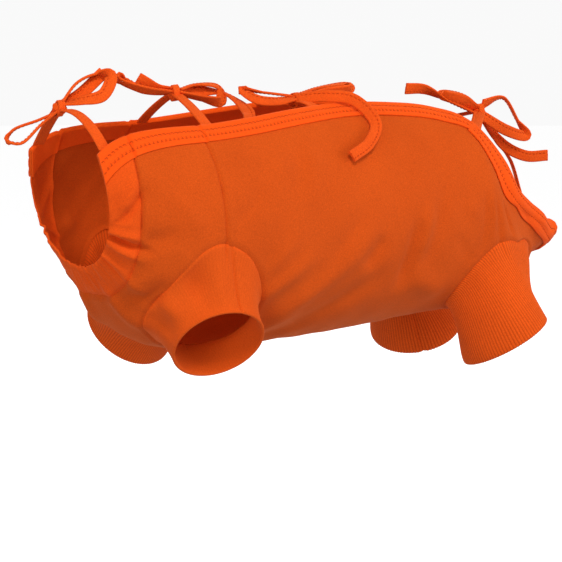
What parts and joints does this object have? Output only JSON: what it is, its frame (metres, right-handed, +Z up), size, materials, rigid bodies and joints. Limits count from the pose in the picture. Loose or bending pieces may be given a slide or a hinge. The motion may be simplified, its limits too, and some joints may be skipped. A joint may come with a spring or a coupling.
{
  "type": "pet recovery shirt",
  "caption": "Knitted recovery shirt in its worn form: open along the back, gathered neck, rib sleeves, bound edges and ties in bows.",
  "frame": {"origin": "the middle of the line that the back opening follows, halfway along the shirt, where the shirt hangs when worn", "axes": "+X from the neck to the rump, +Y to the shirt's right, +Z up"},
  "size_m": [0.5542, 0.2066, 0.256],
  "materials": {
    "jersey": "matt cotton jersey, orange",
    "rib": "matt rib knit, orange",
    "tape": "matt knitted tape with cover stitching, orange"
  },
  "bodies": {
    "root": {"neck_band": "rib", "front_panel": "jersey", "rear_panel": "jersey", "left_front_sleeve": "rib", "right_front_sleeve": "rib", "left_rear_cuff": "rib", "right_rear_cuff": "rib", "left_back_binding": "tape", "right_back_binding": "tape", "rump_binding": "tape", "neck_tie_bow": "tape", "neck_tie_left_strap": "tape", "neck_tie_right_strap": "tape", "shoulder_tie_bow": "tape", "shoulder_tie_left_strap": "tape", "shoulder_tie_right_strap": "tape", "middle_tie_bow": "tape", "middle_tie_left_strap": "tape", "middle_tie_right_strap": "tape", "rump_tie_bow": "tape", "rump_tie_left_strap": "tape", "rump_tie_right_strap": "tape"}
  },
  "joints": []
}
